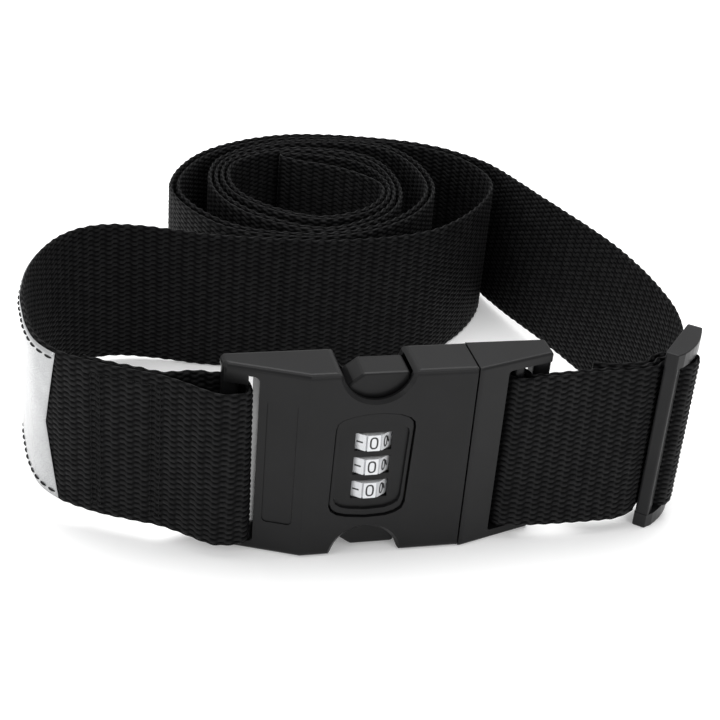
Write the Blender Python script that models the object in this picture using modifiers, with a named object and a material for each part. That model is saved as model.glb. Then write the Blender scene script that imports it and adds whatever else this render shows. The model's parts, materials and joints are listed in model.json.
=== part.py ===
"""Luggage strap: 50 mm webbing, side-release buckle with a three-dial combination lock, tri-glide adjuster.

Frame: +X along the buckle from the receptacle to the plug, +Z up across the webbing width, -Y out of the
buckle's front face. The origin is the bottom centre of the whole object's bounding box. Lengths below are in
millimetres in the buckle's own frame (x = 0 at the seam between receptacle and plug, y = 0 at mid thickness,
z = 0 at the surface the strap stands on) and are turned into metres and centred when the objects are placed.
"""

import math

import bmesh
import bpy
import numpy as np
from mathutils import Matrix, Vector

# ---------------------------------------------------------------- driving dimensions (mm)
MM = 0.001
CENTRE_X, CENTRE_Y = -22.626, 94.369  # middle of the bounding box in the buckle's frame
GAP = 0.3  # between pieces that touch

# webbing
STRAP_W, STRAP_T = 50.0, 1.4
RISE = 5.0  # height of the lower selvedge above the surface at the buckle
LAYER = STRAP_T + 0.35  # pitch of two layers that lie together

# buckle shell
BUCKLE_H, HALF_T = 60.0, 7.8
LEFT_X, TAPER_X, RIGHT_X = -69.8, -47.2, 24.0
LEFT_SLOPE, RIGHT_SLOPE = 0.41, 0.305  # the front face falls back towards both ends while the back stays flat
WALL = 2.0
EDGE_R = 1.5
BAR_X, BAR_Y = (-69.8, -65.0), (1.9, 6.3)
SLOT_RIGHT = -60.2
SLOT_Z = (2.9, 57.1)
NOTCH_X, NOTCH_R, NOTCH_Z = -28.3, 10.0, 61.0

# combination lock
DIAL_X, DIAL_Y, DIAL_R = -28.0, -0.55, 6.8
DIAL_Z, DIAL_PITCH = 29.2, 7.9
DIAL_HALF_H = 2.55
PANEL = [(-39.1, 42.2), (-39.6, 17.4), (-38.9, 15.6), (-37.2, 14.3), (-34.4, 13.5), (-28.9, 12.9), (-23.0, 13.2), (-20.3, 14.1),
         (-18.5, 15.4), (-17.8, 17.6), (-16.9, 42.2), (-17.2, 43.8), (-18.5, 45.2), (-21.4, 46.4), (-25.9, 47.0), (-30.0, 46.9),
         (-34.0, 46.3), (-37.2, 45.3), (-38.6, 44.1)]  # the dial panel's outline, arched above and below
WINDOW_HALF_W, WINDOW_HALF_H = 5.3, 2.75
AXLE_R = 1.4

# plug
PLATE_X = (0.15, 9.7)
PLUG_BAR_X, PLUG_BAR_Y = (18.8, 24.0), (-0.4, 5.6)
INNER_BAR_X, INNER_BAR_Y = (12.3, 15.4), (-3.1, 2.3)

# tri-glide adjuster: a flat inner face from its corner along U, bulging outwards along N
ADJ_CORNER = (56.8, -3.3)
ADJ_ANGLE = math.radians(49.4)
ADJ_W, ADJ_END_T, ADJ_MID_T = 21.6, 4.5, 6.3
ADJ_Z = (4.6, 55.4)

# coil of doubled webbing
COIL_X, COIL_Y = -18.0, 144.5
# radius of the centre line at each eighth of a turn, counter-clockwise from +X, from the outside in
COIL_IN = (79.0, 62.9, 51.2, 48.0, 49.1, 47.4, 42.4, 41.6, 47.0, 54.7, 45.0, 39.8, 34.0, 33.6, 37.7,
           34.4, 34.2, 40.3, 38.0, 35.6, 28.6, 25.6, 28.3, 28.7, 30.0, 32.9)
# and from the fold at the middle back out, clockwise, the layer that lies inside the first
COIL_OUT = (23.4, 27.6, 26.3, 26.1, 23.4, 26.3, 33.2, 35.7, 37.6, 31.9, 31.6, 35.5, 31.2, 31.6, 37.6,
            42.4, 51.6, 44.4, 39.0, 39.8, 44.4, 46.4, 45.3, 47.9, 59.4, 69.6, 54.4, 45.9)
FOLD_R, FOLD_TURN = 29.8, 0.272
BULGE_R = 69.0  # where the outermost turn rounds the far right corner

# ---------------------------------------------------------------- scene
for old in list(bpy.data.objects):
    bpy.data.objects.remove(old, do_unlink=True)

parts = bpy.data.collections.new("luggage_strap")
cutters = bpy.data.collections.new("cutters")
bpy.context.scene.collection.children.link(parts)
bpy.context.scene.collection.children.link(cutters)
cutters.hide_render = True


def material(name, colour, roughness, metallic=0.0):
    made = bpy.data.materials.new(name)
    made.use_nodes = True
    bsdf = made.node_tree.nodes["Principled BSDF"]
    bsdf.inputs["Base Color"].default_value = (*colour, 1.0)
    bsdf.inputs["Roughness"].default_value = roughness
    bsdf.inputs["Metallic"].default_value = metallic
    return made


BLACK_PLASTIC = material("black_satin_plastic", (0.012, 0.012, 0.013), 0.38)
DARK_PLASTIC = material("dark_grey_plastic", (0.022, 0.022, 0.024), 0.35)
WEBBING = material("black_webbing", (0.010, 0.010, 0.011), 0.75)
THREAD = material("black_thread", (0.008, 0.008, 0.008), 0.6)
SILVER_DIAL = material("silver_dial", (0.80, 0.81, 0.83), 0.3, 0.6)
STEEL = material("bright_steel", (0.55, 0.56, 0.58), 0.3, 1.0)
BRASS = material("brass", (0.62, 0.47, 0.22), 0.35, 1.0)
REFLECTIVE = material("reflective_tape", (0.85, 0.86, 0.87), 0.25)


def add(name, bm, mat, origin=(0.0, 0.0, 0.0), smooth=True, angle=35.0, home=parts):
    """One object from a mesh in buckle millimetres, with its origin at a point of that frame."""
    at = Vector(origin)
    for vert in bm.verts:
        vert.co = (vert.co - at) * MM
    bmesh.ops.recalc_face_normals(bm, faces=bm.faces)
    mesh = bpy.data.meshes.new(name)
    bm.to_mesh(mesh)
    bm.free()
    obj = bpy.data.objects.new(name, mesh)
    obj.location = ((at.x - CENTRE_X) * MM, (at.y - CENTRE_Y) * MM, at.z * MM)
    home.objects.link(obj)
    if mat is not None:
        mesh.materials.append(mat)
    if smooth:
        mesh.shade_smooth()
        mesh.set_sharp_from_angle(angle=math.radians(angle))
    return obj


def box(low, high):
    bm = bmesh.new()
    bmesh.ops.create_cube(bm, size=1.0)
    for vert in bm.verts:
        for i in range(3):
            vert.co[i] = (low[i] + high[i]) / 2 + vert.co[i] * (high[i] - low[i])
    return bm


def cylinder(radius, low, high, axis="Z", at=(0.0, 0.0), sides=32, radius2=None):
    """A round bar along an axis. at is its centre in the other two coordinates, in their own order."""
    bm = bmesh.new()
    bmesh.ops.create_cone(bm, cap_ends=True, segments=sides, radius1=radius,
                          radius2=radius if radius2 is None else radius2, depth=high - low)
    for vert in bm.verts:
        vert.co.z += (low + high) / 2
    if axis == "Y":
        bmesh.ops.rotate(bm, verts=bm.verts, cent=(0, 0, 0), matrix=Matrix.Rotation(-math.pi / 2, 3, "X"))
        bmesh.ops.translate(bm, verts=bm.verts, vec=(at[0], 0, at[1]))
    elif axis == "X":
        bmesh.ops.rotate(bm, verts=bm.verts, cent=(0, 0, 0), matrix=Matrix.Rotation(math.pi / 2, 3, "Y"))
        bmesh.ops.translate(bm, verts=bm.verts, vec=(0, at[0], at[1]))
    else:
        bmesh.ops.translate(bm, verts=bm.verts, vec=(at[0], at[1], 0))
    return bm


def outline(points, low, high, axis="Z"):
    """A flat outline given a thickness along one axis."""
    bm = bmesh.new()
    if axis == "Z":
        verts = [bm.verts.new((x, y, low)) for x, y in points]
        push = (0, 0, high - low)
    else:
        verts = [bm.verts.new((x, low, z)) for x, z in points]
        push = (0, high - low, 0)
    face = bm.faces.new(verts)
    grown = bmesh.ops.extrude_face_region(bm, geom=[face])
    bmesh.ops.translate(bm, verts=[v for v in grown["geom"] if isinstance(v, bmesh.types.BMVert)], vec=push)
    bmesh.ops.recalc_face_normals(bm, faces=bm.faces)
    return bm


def rounded_rectangle(x0, x1, z0, z1, radius, steps=5):
    points = []
    for cx, cz, start in ((x1 - radius, z1 - radius, 0), (x0 + radius, z1 - radius, 90),
                          (x0 + radius, z0 + radius, 180), (x1 - radius, z0 + radius, 270)):
        for i in range(steps + 1):
            turn = math.radians(start + 90 * i / steps)
            points.append((cx + radius * math.cos(turn), cz + radius * math.sin(turn)))
    return points


def cutter(name, bm):
    made = add(name, bm, None, smooth=False, home=cutters)
    made.hide_render = True
    made.display_type = "WIRE"
    return made


def boolean(obj, operation, other):
    mod = obj.modifiers.new(f"{operation.lower()}_{other.name}", "BOOLEAN")
    mod.operation = operation
    mod.solver = "EXACT"
    mod.object = other


def bevel(obj, width, segments=2, angle=50.0):
    mod = obj.modifiers.new("bevel", "BEVEL")
    mod.width = width * MM
    mod.segments = segments
    mod.limit_method = "ANGLE"
    mod.angle_limit = math.radians(angle)
    mod.harden_normals = False


def weighted_bevel(obj, width, segments, wanted):
    """Rounds the edges that wanted picks from their middle point and direction, in buckle millimetres."""
    layer = obj.data.attributes.new("bevel_weight_edge", "FLOAT", "EDGE")
    for i, edge in enumerate(obj.data.edges):
        a, b = (obj.data.vertices[v].co / MM for v in edge.vertices)
        layer.data[i].value = wanted((a + b) / 2, (b - a).normalized())
    mod = obj.modifiers.new("bevel", "BEVEL")
    mod.width = width * MM
    mod.segments = segments
    mod.limit_method = "WEIGHT"


# ---------------------------------------------------------------- webbing centre lines
def spline(stations, step=0.4):
    """Points along a centripetal Catmull-Rom curve through rows of (x, y, rise, lean)."""
    p = np.array(stations, float)
    p = np.vstack([2 * p[0] - p[1], p, 2 * p[-1] - p[-2]])
    rows = []
    for a, b, c, d in zip(p[:-3], p[1:-2], p[2:-1], p[3:]):
        t = [0.0]
        for m, n in ((a, b), (b, c), (c, d)):
            t.append(t[-1] + max(np.linalg.norm((n - m)[:2]), 1e-6) ** 0.5)
        count = max(2, int(np.linalg.norm((c - b)[:2]) / step))
        for i in range(count):
            s = t[1] + (t[2] - t[1]) * i / count
            a1 = a + (b - a) * (s - t[0]) / (t[1] - t[0])
            a2 = b + (c - b) * (s - t[1]) / (t[2] - t[1])
            a3 = c + (d - c) * (s - t[2]) / (t[3] - t[2])
            b1 = a1 + (a2 - a1) * (s - t[0]) / (t[2] - t[0])
            b2 = a2 + (a3 - a2) * (s - t[1]) / (t[3] - t[1])
            rows.append(b1 + (b2 - b1) * (s - t[1]) / (t[2] - t[1]))
    rows.append(p[-2])
    rows = np.array(rows)
    rows[:, 2] = np.clip(rows[:, 2], 0.0, RISE)
    return rows


def thin(path, turn=11.0, longest=7.0):
    """Keeps the points where the curve has turned or run far enough."""
    keep = [0]
    heading = None
    for i in range(1, len(path) - 1):
        step = path[i + 1, :2] - path[i, :2]
        now = math.atan2(step[1], step[0])
        if heading is None:
            heading = now
        change = abs((now - heading + math.pi) % (2 * math.pi) - math.pi)
        far = np.linalg.norm(path[i, :2] - path[keep[-1], :2])
        if far > longest or (change > math.radians(turn) and far > 0.45):
            keep.append(i)
            heading = now
    return path[keep + [len(path) - 1]]


def ribbon(name, path, mat=WEBBING, width=STRAP_W, thick=STRAP_T, low=0.0, home=parts):
    """Webbing standing on edge along a centre line: an open strip given its thickness by Solidify."""
    along = np.gradient(path[:, :2], axis=0)
    along /= np.linalg.norm(along, axis=1)[:, None]
    side = np.stack([along[:, 1], -along[:, 0]], 1)
    bm = bmesh.new()
    rows = []
    for (x, y, rise, lean), (nx, ny) in zip(path, side):
        half = lean / 2
        rows.append((bm.verts.new((x - nx * half, y - ny * half, rise + low)),
                     bm.verts.new((x + nx * half, y + ny * half, rise + low + width))))
    for (a, b), (c, d) in zip(rows, rows[1:]):
        bm.faces.new((a, c, d, b))
    made = add(name, bm, mat, home=home)
    mod = made.modifiers.new("thickness", "SOLIDIFY")
    mod.thickness = thick * MM
    mod.offset = 0.0
    mod.use_even_offset = True
    return made


def coil_point(radius, turns):
    return COIL_X + radius * math.cos(2 * math.pi * turns), COIL_Y + radius * math.sin(2 * math.pi * turns)


def adj(u, n):
    """A point of the adjuster's own plan in the buckle's frame."""
    c, s = math.cos(ADJ_ANGLE), math.sin(ADJ_ANGLE)
    return ADJ_CORNER[0] + u * c + n * s, ADJ_CORNER[1] + u * s - n * c


def flat(points, rise, lean=0.0):
    return [(x, y, rise, lean) for x, y in points]


def leaning(points, first, leans):
    """Stations at the full rise, a few of which lean."""
    rows = flat(points, RISE)
    for i, lean in enumerate(leans):
        rows[first + i] = (*rows[first + i][:3], lean)
    return rows


# sewn end behind the left strand, round the receptacle's bar, then the left strand and its bend: x, y, rise and lean
front = [(-112.4, 21.5, 5.0), (-106.2, 16.4, 5.0), (-100.2, 12.6, 5.0), (-92.8, 8.9, 5.0), (-85.4, 5.5, 4.8), (-79.0, 1.2, 4.4),
         (-74.2, -2.2, 3.9), (-70.6, -3.8, 3.5)]
sewn_end = [(x + 0.35, y + LAYER + 0.15, rise) for x, y, rise in front[1:5]]
loop_back = [(-80.4, 8.2, 4.4), (-75.4, 8.7, 4.0), (-70.6, 8.1, 3.6)]
bar_wrap = [(-67.6, 7.6, 3.5, 0.0), (-65.4, 7.35, 3.45, 0.2), (-63.4, 6.3, 3.45, 0.6), (-62.2, 4.0, 3.45, 1.0), (-61.85, 1.2, 3.45, 1.0),
            (-61.95, -1.2, 3.45, 0.9), (-62.9, -3.0, 3.45, 0.5), (-65.0, -3.9, 3.45, 0.1), (-67.6, -4.1, 3.5, 0.0)]
bend = [(-117.4, 29.0), (-119.8, 39.0), (-120.6, 49.0), (-120.9, 58.0), (-120.1, 67.5), (-118.6, 77.0), (-115.6, 87.0),
        (-111.6, 96.0), (-107.0, 103.0), (-100.4, 108.8), (-93.6, 111.6), (-87.4, 112.3), (-81.0, 111.6), (-74.6, 110.2)]
run = [(-68.4, 108.6), (-61.6, 106.6), (-55.0, 104.9), (-48.6, 103.4), (-42.4, 102.1), (-35.6, 100.8)]

main = [(*row, 0.0) for row in sewn_end + loop_back] + bar_wrap + [(*row, 0.0) for row in front[::-1]]
for i, (x, y) in enumerate(bend + run):
    main.append((x, y, RISE * max(0.0, 1 - i / (len(bend) + 1)), 0.0))
# coil: the outer layer travels inwards clockwise seen from the run, so the stations are read backwards
for i in range(len(COIL_OUT) - 1, -1, -1):
    turns = 0.125 - 0.125 * i
    main.append((*coil_point(COIL_OUT[i], turns), 0.0, 0.0))
    if i == 25:
        main.append((*coil_point(BULGE_R, turns + 0.0625), 0.0, 0.0))
fold = [(25.4, 0.245), (28.1, FOLD_TURN - 0.009), (FOLD_R, FOLD_TURN), (32.3, FOLD_TURN - 0.004)]
main += [(*coil_point(r, t), 0.0, 0.0) for r, t in fold]
for i in range(len(COIL_IN) - 1, 0, -1):
    turns = 0.125 * i
    main.append((*coil_point(COIL_IN[i], turns), 0.0, 0.0))

START_D, START_A = (*coil_point(COIL_IN[1], 0.125), 0.0, 0.0), (73.4, 76.0, 4.4, -3.6)
diagonal = [(41.0, 181.0, 0.1, 0.0), (48.7, 172.5, 0.3, -0.8), (53.4, 163.0, 0.8, -2.6),
            (56.0, 153.6, 1.3, -4.0), (58.0, 143.6, 1.8, -4.6), (61.6, 128.0, 2.4, -4.6), (66.0, 110.5, 3.2, -4.0),
            (70.2, 93.0, 3.8, -4.0)]
lower = [(75.3, 60.0, 4.8, -2.4), (76.1, 45.0, RISE, -1.2), (76.0, 33.0, RISE, 0.0)]
over = [adj(29.6, -3.5), adj(25.4, -2.0), adj(21.6, -1.3), adj(18.6, -1.15), adj(16.5, -0.6), adj(15.3, 1.0), adj(15.1, 3.2),
        adj(14.6, 5.4), adj(13.0, 6.8), adj(10.7, 7.15), adj(8.4, 6.8), adj(6.8, 5.4), adj(6.3, 3.2), adj(6.1, 1.0),
        adj(5.1, -0.6), adj(3.2, -1.15), adj(0.4, -1.3), adj(-1.6, -2.0)]
strand = [(50.0, -3.6, 4.1, 3.2), (43.0, -4.1, 4.25, 3.8), (36.0, -4.5, 4.35, 3.4), (29.0, -4.8, 4.4, 2.8), (24.0, -4.9, 4.4, 2.3)]
plug_wrap = [(20.0, -4.9, 4.4, 1.6), (16.0, -4.8, 4.3, 0.7), (13.6, -4.35, 4.3, 0.2), (11.9, -3.2, 4.3, 0.0), (11.05, -1.5, 4.2, 0.0),
             (10.9, 0.4, 4.2, 0.0), (11.5, 2.3, 4.2, 0.0), (13.0, 3.65, 4.2, 0.0), (14.8, 3.6, 4.2, 0.0), (16.2, 2.5, 4.2, 0.0),
             (16.95, 0.9, 4.2, 0.0), (17.4, -0.9, 4.2, 0.0), (18.3, -2.3, 4.2, -0.4), (20.4, -2.95, 4.2, -1.3)]
back = [(24.2, -3.1, 4.2, -2.2), (29.0, -3.0, 4.2, -2.8), (36.0, -2.7, 4.2, -3.4), (43.0, -2.3, 4.15, -3.8), (49.4, -1.75, 4.1, -3.2)]
under = [adj(-1.5, -4.4), adj(1.2, -3.3), adj(4.2, -3.05), adj(6.2, -2.4), adj(7.65, -0.7), adj(8.1, 1.3), adj(8.15, 3.1),
         adj(8.95, 4.8), adj(10.7, 5.3), adj(12.45, 4.8), adj(13.25, 3.1), adj(13.2, 1.4), adj(12.2, -0.2), adj(10.4, -1.8),
         adj(8.4, -3.4), adj(6.2, -4.6), adj(3.4, -5.15), adj(0.6, -5.3)]
tail = [(50.4, 0.6), (46.5, 0.3), (42.0, 0.6), (37.5, 1.9)]
# one continuous centre line for the whole strap, shared out at the two places where the motion divides it
whole = spline(main + diagonal + [START_A] + lower + leaning(over, -3, (0.2, 0.7, 1.9)) + strand + plug_wrap + back
               + leaning(under, 0, (-1.6, -0.5)) + flat(tail, RISE))


def nearest(point, path=None):
    path = whole if path is None else path
    return int(np.argmin(np.linalg.norm(path[:, :2] - point[:2], axis=1)))


cut_d, cut_a = nearest(START_D), nearest(START_A)
main_path = thin(whole[:cut_d])
ribbon("webbing_main", main_path)
ribbon("webbing_diagonal", thin(whole[cut_d + 1:cut_a]))
ribbon("webbing_adjuster_loop", thin(whole[cut_a + 1:]))


# ---------------------------------------------------------------- stitching and the reflective patch
def offset_path(path, distance):
    along = np.gradient(path[:, :2], axis=0)
    along /= np.linalg.norm(along, axis=1)[:, None]
    out = path.copy()
    out[:, 0] += along[:, 1] * distance
    out[:, 1] -= along[:, 0] * distance
    return out


def stretch(path, low, high):
    """The part of a centre line between two distances along it."""
    far = np.concatenate([[0.0], np.cumsum(np.linalg.norm(np.diff(path[:, :2], axis=0), axis=1))])
    inside = (far > low) & (far < high)
    ends = np.array([[np.interp(at, far, path[:, k]) for k in range(4)] for at in (low, high)])
    return np.vstack([ends[:1], path[inside], ends[1:]])


run_length = np.concatenate([[0.0], np.cumsum(np.linalg.norm(np.diff(main_path[:, :2], axis=0), axis=1))])


def station(x, y):
    """Distance along the strap of the point nearest to (x, y), past the sewn end."""
    away = np.linalg.norm(main_path[:, :2] - (x, y), axis=1)
    return run_length[np.argmin(np.where(run_length > 55.0, away, np.inf))]


PATCH_FROM, PATCH_TO = station(-112.6, 21.7), station(-106.0, 104.0)
OUTSIDE = STRAP_T / 2
patch = stretch(main_path, PATCH_FROM, PATCH_TO)
PATCH_T = 0.5
ribbon("reflective_patch", offset_path(patch, -(OUTSIDE + 0.15 + PATCH_T / 2)), REFLECTIVE, STRAP_W - 1.6, PATCH_T, 0.8)


def seam(name, path, heights, distance, radius=0.3):
    """A row of stitching: a thin thread lying on the webbing at one or more heights, joined at its ends."""
    run = np.concatenate([[0.0], np.cumsum(np.linalg.norm(np.diff(path[:, :2], axis=0), axis=1))])
    marks = np.unique(np.round(np.concatenate([run, np.linspace(0, run[-1], (len(heights) - 1) + 1)]), 4))
    marks = marks[np.concatenate([[True], np.diff(marks) > 0.3])]
    path = np.stack([np.interp(marks, run, path[:, k]) for k in range(4)], 1)
    line = offset_path(path, distance)
    bm = bmesh.new()
    half = radius
    along = np.gradient(line[:, :2], axis=0)
    along /= np.linalg.norm(along, axis=1)[:, None]
    side = np.stack([along[:, 1], -along[:, 0]], 1)
    rings = []
    for (x, y, rise, _), (nx, ny), h in zip(line, side, np.interp(marks, np.linspace(0, run[-1], len(heights)), heights)):
        ring = [bm.verts.new((x + nx * a, y + ny * a, rise + h + b))
                for a, b in ((-half, -half), (half, -half), (half, half), (-half, half))]
        rings.append(ring)
    for r0, r1 in zip(rings, rings[1:]):
        for k in range(4):
            bm.faces.new((r0[k], r1[k], r1[(k + 1) % 4], r0[(k + 1) % 4]))
    bm.faces.new(rings[0][::-1])
    bm.faces.new(rings[-1])
    return add(name, bm, THREAD)


on_patch = OUTSIDE + 0.15 + PATCH_T + 0.15 + 0.2
seam("patch_stitch_upper", stretch(main_path, PATCH_FROM + 1.5, PATCH_TO - 1.5), (47.2, 47.2), -on_patch, 0.2)
seam("patch_stitch_lower", stretch(main_path, PATCH_FROM + 1.5, PATCH_TO - 1.5), (2.8, 2.8), -on_patch, 0.2)
sewn = stretch(main_path, station(-86.0, 6.5), station(-104.4, 15.3))
seam("end_stitching", sewn, (5.0, 45.0, 5.0), -(OUTSIDE + 0.4), 0.2)
loop_path = thin(whole[cut_a + 1:])
loop_far = np.sum(np.linalg.norm(np.diff(loop_path[:, :2], axis=0), axis=1))
seam("adjuster_stitching", stretch(loop_path, loop_far - 12.0, loop_far - 2.0), (5.0, 45.0, 5.0), OUTSIDE + 0.4, 0.2)

# ---------------------------------------------------------------- receptacle
LEFT_FRONT = -HALF_T + LEFT_SLOPE * (TAPER_X - LEFT_X)
block = [(LEFT_X, LEFT_FRONT + 1.2), (LEFT_X + 1.0, LEFT_FRONT - 0.25), (TAPER_X, -HALF_T), (-0.15, -HALF_T),
         (-0.15, HALF_T), (LEFT_X + 1.0, HALF_T), (LEFT_X, HALF_T - 1.0)]
receptacle = add("receptacle_shell", outline(block, 0.0, BUCKLE_H), BLACK_PLASTIC)


def shell_edges(mid, run_dir):
    if abs(run_dir.z) > 0.9:
        return 0.25 if mid.x > -1 else 0.0
    return 0.25 if mid.x > -0.5 else 1.0


weighted_bevel(receptacle, EDGE_R, 4, shell_edges)

def rounded_bar(name, across, through, radius):
    return cutter(name, outline(rounded_rectangle(*across, *through, radius, 4), SLOT_Z[0] - 1.0, SLOT_Z[1] + 1.0))


def notch(top):
    """The outline of the half-round notch, flared where it meets the edge of the shell."""
    flare = 2.5
    away = math.sqrt((NOTCH_R + flare) ** 2 - (NOTCH_Z - BUCKLE_H + flare) ** 2)
    meet = math.degrees(math.acos(away / (NOTCH_R + flare)))
    half = [(away, BUCKLE_H + 3.0)]
    for turn in np.linspace(96.0, 180.0 - meet, 7):
        half.append((away + flare * math.cos(math.radians(turn)), BUCKLE_H - flare + flare * math.sin(math.radians(turn))))
    for turn in np.linspace(-meet, -90.0, 13)[1:]:
        half.append((NOTCH_R * math.cos(math.radians(turn)), NOTCH_Z + NOTCH_R * math.sin(math.radians(turn))))
    whole_round = half + [(-x, z) for x, z in half[-2::-1]]
    points = [(NOTCH_X + x, z if top else BUCKLE_H - z) for x, z in whole_round]
    return outline(points, -12.0, 12.0, "Y")


def panel(grow, rise=0.0, drop=0.0):
    """The panel's outline, moved outwards by about this distance, with its top lowered and its bottom raised."""
    mid_x, mid_z = -28.2, 29.9
    points = []
    for x, z in PANEL:
        z = mid_z + (z - mid_z) * (17.1 + grow) / 17.1
        z += -rise * max(0.0, (z - mid_z) / 17.1) + drop * max(0.0, (mid_z - z) / 17.1)
        points.append((mid_x + (x - mid_x) * (11.2 + grow) / 11.2, z))
    return points


cut = [
    cutter("cut_cavity", box((-43.0, -HALF_T + WALL, 2.2), (1.0, 5.9, 57.8))),
    cutter("cut_back_opening", box((-44.5, 5.5, 3.4), (-3.6, 9.0, 56.6))),
    cutter("cut_slot", outline(rounded_rectangle(LEFT_X - 8, SLOT_RIGHT, *SLOT_Z, 1.5), -9.5, 9.5, "Y")),
    cutter("cut_notch_top", notch(True)),
    cutter("cut_notch_bottom", notch(False)),
    cutter("cut_pad_channel", box((-43.0, -5.3, 1.2), (1.0, 5.3, 58.8))),
    cutter("cut_notch_rim_top", cylinder(12.9, -9.7, -6.7, "Y", (NOTCH_X, NOTCH_Z), 48, 9.9)),
    cutter("cut_notch_rim_bottom", cylinder(12.9, -9.7, -6.7, "Y", (NOTCH_X, BUCKLE_H - NOTCH_Z), 48, 9.9)),
    cutter("cut_panel", outline(panel(GAP), -12, -4, "Y")),
]
for made in cut:
    boolean(receptacle, "DIFFERENCE", made)
boolean(receptacle, "UNION", rounded_bar("join_receptacle_bar", BAR_X, BAR_Y, 1.4))
# thicker root where the bar meets the upper arm
SHOULDER = [(-69.3, 1.7), (-63.0, -0.9), (-63.0, 6.9), (-69.3, 6.9)]
boolean(receptacle, "UNION", cutter("join_shoulder", outline(SHOULDER, 54.1, 58.5)))

# shallow label recess on the tapered front
recess = outline(rounded_rectangle(-58.0, -50.0, 10.6, 50.4, 1.2, 3), -10.0, 0.0, "Y")
for vert in recess.verts:
    if vert.co.y > -1.0:
        vert.co.y = -HALF_T + LEFT_SLOPE * (TAPER_X - vert.co.x) + 0.4
recess_cut = cutter("cut_label_recess", recess)
boolean(receptacle, "DIFFERENCE", recess_cut)

cover = add("receptacle_back_cover", box((-44.2, 6.2, 3.7), (-3.9, HALF_T, 56.3)), BLACK_PLASTIC)
bevel(cover, 0.4, 1)
cover_notch_top = cutter("cut_cover_notch_top", cylinder(NOTCH_R, -12, 12, "Y", (NOTCH_X, NOTCH_Z), 40))
cover_notch_bottom = cutter("cut_cover_notch_bottom", cylinder(NOTCH_R, -12, 12, "Y", (NOTCH_X, BUCKLE_H - NOTCH_Z), 40))
boolean(cover, "DIFFERENCE", cover_notch_top)
boolean(cover, "DIFFERENCE", cover_notch_bottom)
SCREWS = [(-42.0, 9.0), (-42.0, 51.0), (-7.0, 9.0), (-7.0, 51.0)]
RESET_AT = (-14.2, 29.2)
# relief that clears the backs of the dials
boolean(cover, "DIFFERENCE", cutter("cut_cover_relief", box((DIAL_X - 4.5, 5.0, DIAL_Z - DIAL_PITCH - 3.6),
                                                          (DIAL_X + 4.5, 6.75, DIAL_Z + DIAL_PITCH + 3.6))))
for i, (sx, sz) in enumerate(SCREWS):
    boolean(cover, "DIFFERENCE", cutter(f"cut_screw_hole_{i + 1}", cylinder(1.35, 5.0, 9.0, "Y", (sx, sz), 16)))
boolean(cover, "DIFFERENCE", cutter("cut_reset_hole", cylinder(2.0, 5.0, 9.0, "Y", RESET_AT, 20)))

for i, (sx, sz) in enumerate(SCREWS):
    bm = cylinder(1.05, 6.35, 7.55, "Y", (sx, sz), 16)
    screw = add(f"cover_screw_{i + 1}", bm, STEEL)
    boolean(screw, "DIFFERENCE", cutter(f"cut_screw_cross_{i + 1}", box((sx - 0.75, 7.2, sz - 0.18), (sx + 0.75, 8.5, sz + 0.18))))

# ---------------------------------------------------------------- combination lock
bezel = add("dial_bezel", outline(panel(0.0), -HALF_T + 0.6, -HALF_T + WALL + 0.5, "Y"), BLACK_PLASTIC)
bevel(bezel, 0.3, 2)
# dish whose sides slope in to a floor that leaves the dials standing proud
dish = outline(panel(-0.9, 1.9, 1.0), -12.0, -HALF_T + 1.5, "Y")
for vert in dish.verts:
    spread = 1.0 if vert.co.y > -10 else 1.0 + 2.7 * 0.045
    lift = 1.0 if vert.co.y > -10 else 1.0 + 2.7 * 0.030
    vert.co.x = -28.2 + (vert.co.x - -28.2) * 0.955 * spread
    vert.co.z = 29.5 + (vert.co.z - 29.5) * 0.97 * lift
boolean(bezel, "DIFFERENCE", cutter("cut_bezel_dish", dish))
for i in (-1, 0, 1):
    z = DIAL_Z - i * DIAL_PITCH
    boolean(bezel, "DIFFERENCE", cutter(f"cut_window_{i + 2}", box((DIAL_X - WINDOW_HALF_W, -12, z - WINDOW_HALF_H),
                                                                    (DIAL_X + WINDOW_HALF_W, 0, z + WINDOW_HALF_H + 0.4))))


def wheel(name, z):
    """Ten flat faces for the numerals, with a groove between each pair."""
    points = []
    for k in range(10):
        middle = math.radians(-90 + 36 * k)
        for off, r in ((-15.5, DIAL_R), (15.5, DIAL_R), (18.0, DIAL_R - 0.6)):
            turn = middle + math.radians(off)
            points.append((DIAL_X + r * math.cos(turn), DIAL_Y + r * math.sin(turn)))
    made = add(name, outline(points, z - DIAL_HALF_H, z + DIAL_HALF_H), SILVER_DIAL, origin=(DIAL_X, DIAL_Y, z), angle=15)
    bore = cutter(f"cut_bore_{name}", cylinder(3.9, z - 9, z + 9, "Z", (DIAL_X, DIAL_Y), 24))
    boolean(made, "DIFFERENCE", bore)
    return made


def sleeve(name, z):
    """The inner sleeve that the dial turns, with a gate flange above it for the lock slide's finger."""
    made = add(name, cylinder(3.6, z - DIAL_HALF_H, z + DIAL_HALF_H + 2.2, "Z", (DIAL_X, DIAL_Y), 24), BRASS,
               origin=(DIAL_X, DIAL_Y, z))
    boolean(made, "DIFFERENCE", cutter(f"cut_bore_{name}", cylinder(AXLE_R + 0.1, z - 9, z + 9, "Z", (DIAL_X, DIAL_Y), 24)))
    gate = box((DIAL_X + 2.3, DIAL_Y - 1.4, z + DIAL_HALF_H + 0.1), (DIAL_X + 5.0, DIAL_Y + 1.4, z + DIAL_HALF_H + 4.0))
    boolean(made, "DIFFERENCE", cutter(f"cut_gate_{name}", gate))
    return made


for name, i in (("top", -1), ("middle", 0), ("bottom", 1)):
    z = DIAL_Z - i * DIAL_PITCH
    wheel(f"dial_wheel_{name}", z)
    sleeve(f"clutch_sleeve_{name}", z)

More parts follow.
